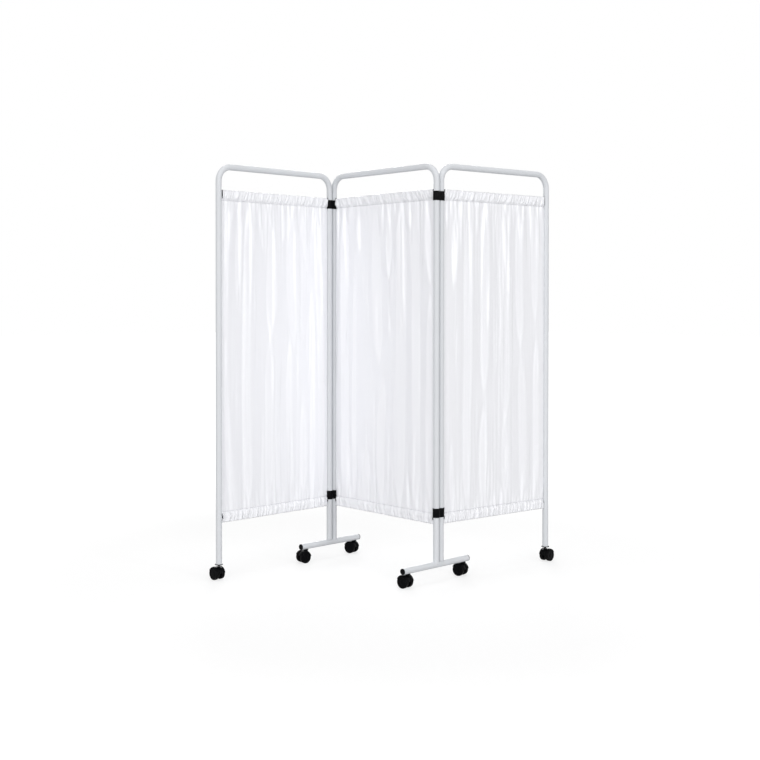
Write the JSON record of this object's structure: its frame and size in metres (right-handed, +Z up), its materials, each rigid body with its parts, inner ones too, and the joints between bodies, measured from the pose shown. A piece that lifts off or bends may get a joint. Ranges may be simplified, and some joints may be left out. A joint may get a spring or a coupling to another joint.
{
  "type": "ward privacy screen",
  "caption": "Folding ward privacy screen: curtained tube frames hinged in a zigzag on castors, with T-shaped feet under the hinges.",
  "frame": {"origin": "on the floor, under the middle of the bounding box at rest", "axes": "+X along the centre panel from its left post to its right post, -Y to the side that the left wing stands on, +Z up"},
  "size_m": [0.737, 1.35, 1.7],
  "materials": {
    "frame_paint": "smooth light grey-white powder coat",
    "curtain_cloth": "white satin-faced polyester cloth",
    "steel": "bright zinc-plated steel",
    "black_plastic": "fine-grained moulded black plastic",
    "wheel_plastic": "hard black wheel plastic with a worn tread"
  },
  "bodies": {
    "screen": {"centre_frame": "frame_paint", "centre_curtain": "curtain_cloth", "centre_top_rod": "steel", "centre_bottom_rod": "steel", "centre_top_rod_socket_inner": "black_plastic", "centre_top_rod_socket_outer": "black_plastic", "centre_bottom_rod_socket_inner": "black_plastic", "centre_bottom_rod_socket_outer": "black_plastic", "left_foot": "frame_paint", "left_foot_plug_front": "black_plastic", "left_foot_plug_back": "black_plastic", "foot_left_front_castor_stem": "steel", "foot_left_back_castor_stem": "steel", "right_foot": "frame_paint", "right_foot_plug_front": "black_plastic", "right_foot_plug_back": "black_plastic", "foot_right_front_castor_stem": "steel", "foot_right_back_castor_stem": "steel", "left_upper_hinge_clip": "black_plastic", "left_lower_hinge_clip": "black_plastic", "right_upper_hinge_clip": "black_plastic", "right_lower_hinge_clip": "black_plastic"},
    "left_wing": {"left_frame": "frame_paint", "left_curtain": "curtain_cloth", "left_top_rod": "steel", "left_bottom_rod": "steel", "left_top_rod_socket_inner": "black_plastic", "left_top_rod_socket_outer": "black_plastic", "left_bottom_rod_socket_inner": "black_plastic", "left_bottom_rod_socket_outer": "black_plastic", "outer_left_castor_insert": "black_plastic", "outer_left_castor_stem": "steel"},
    "right_wing": {"right_frame": "frame_paint", "right_curtain": "curtain_cloth", "right_top_rod": "steel", "right_bottom_rod": "steel", "right_top_rod_socket_inner": "black_plastic", "right_top_rod_socket_outer": "black_plastic", "right_bottom_rod_socket_inner": "black_plastic", "right_bottom_rod_socket_outer": "black_plastic", "outer_right_castor_insert": "black_plastic", "outer_right_castor_stem": "steel"},
    "foot_left_front_castor": {"foot_left_front_castor_hood": "black_plastic"},
    "foot_left_front_wheels": {"foot_left_front_castor_wheel_left": "wheel_plastic", "foot_left_front_castor_wheel_right": "wheel_plastic"},
    "foot_left_back_castor": {"foot_left_back_castor_hood": "black_plastic"},
    "foot_left_back_wheels": {"foot_left_back_castor_wheel_left": "wheel_plastic", "foot_left_back_castor_wheel_right": "wheel_plastic"},
    "foot_right_front_castor": {"foot_right_front_castor_hood": "black_plastic"},
    "foot_right_front_wheels": {"foot_right_front_castor_wheel_left": "wheel_plastic", "foot_right_front_castor_wheel_right": "wheel_plastic"},
    "foot_right_back_castor": {"foot_right_back_castor_hood": "black_plastic"},
    "foot_right_back_wheels": {"foot_right_back_castor_wheel_left": "wheel_plastic", "foot_right_back_castor_wheel_right": "wheel_plastic"},
    "outer_left_castor": {"outer_left_castor_hood": "black_plastic"},
    "outer_left_wheels": {"outer_left_castor_wheel_left": "wheel_plastic", "outer_left_castor_wheel_right": "wheel_plastic"},
    "outer_right_castor": {"outer_right_castor_hood": "black_plastic"},
    "outer_right_wheels": {"outer_right_castor_wheel_left": "wheel_plastic", "outer_right_castor_wheel_right": "wheel_plastic"}
  },
  "joints": [
    {"name": "left_wing_fold", "type": "hinge", "parent": "screen", "child": "left_wing", "pos_m": [-0.32589, -0.03363, 0], "axis": [0, 0, -1], "range_deg": [-65, 106]},
    {"name": "right_wing_fold", "type": "hinge", "parent": "screen", "child": "right_wing", "pos_m": [0.29111, 0.02037, 0], "axis": [0, 0, -1], "range_deg": [-71, 100]},
    {"name": "outer_left_castor_swivel", "type": "hinge", "parent": "left_wing", "child": "outer_left_castor", "pos_m": [-0.31512, -0.65054, 0], "axis": [0, 0, 1], "continuous": true},
    {"name": "outer_left_castor_roll", "type": "hinge", "parent": "outer_left_castor", "child": "outer_left_wheels", "pos_m": [-0.32711, -0.65117, 0.025], "axis": [0.0523, -0.9986, 0], "continuous": true},
    {"name": "foot_left_front_castor_swivel", "type": "hinge", "parent": "screen", "child": "foot_left_front_castor", "pos_m": [-0.32589, -0.17263, 0], "axis": [0, 0, 1], "continuous": true},
    {"name": "foot_left_front_castor_roll", "type": "hinge", "parent": "foot_left_front_castor", "child": "foot_left_front_wheels", "pos_m": [-0.32756, -0.18452, 0.025], "axis": [0.9903, -0.1392, 0], "continuous": true},
    {"name": "foot_left_back_castor_swivel", "type": "hinge", "parent": "screen", "child": "foot_left_back_castor", "pos_m": [-0.32589, 0.11437, 0], "axis": [0, 0, 1], "continuous": true},
    {"name": "foot_left_back_castor_roll", "type": "hinge", "parent": "foot_left_back_castor", "child": "foot_left_back_wheels", "pos_m": [-0.33759, 0.11167, 0.025], "axis": [0.225, -0.9744, 0], "continuous": true},
    {"name": "foot_right_front_castor_swivel", "type": "hinge", "parent": "screen", "child": "foot_right_front_castor", "pos_m": [0.29111, -0.17263, 0], "axis": [0, 0, 1], "continuous": true},
    {"name": "foot_right_front_castor_roll", "type": "hinge", "parent": "foot_right_front_castor", "child": "foot_right_front_wheels", "pos_m": [0.27915, -0.17368, 0.025], "axis": [0.0872, -0.9962, 0], "continuous": true},
    {"name": "foot_right_back_castor_swivel", "type": "hinge", "parent": "screen", "child": "foot_right_back_castor", "pos_m": [0.29111, 0.15537, 0], "axis": [0, 0, 1], "continuous": true},
    {"name": "foot_right_back_castor_roll", "type": "hinge", "parent": "foot_right_back_castor", "child": "foot_right_back_wheels", "pos_m": [0.27925, 0.15349, 0.025], "axis": [0.1564, -0.9877, 0], "continuous": true},
    {"name": "outer_right_castor_swivel", "type": "hinge", "parent": "right_wing", "child": "outer_right_castor", "pos_m": [0.34488, 0.63502, 0], "axis": [0, 0, 1], "continuous": true},
    {"name": "outer_right_castor_roll", "type": "hinge", "parent": "outer_right_castor", "child": "outer_right_wheels", "pos_m": [0.34404, 0.64699, 0.025], "axis": [-0.9976, -0.0698, 0], "continuous": true}
  ]
}
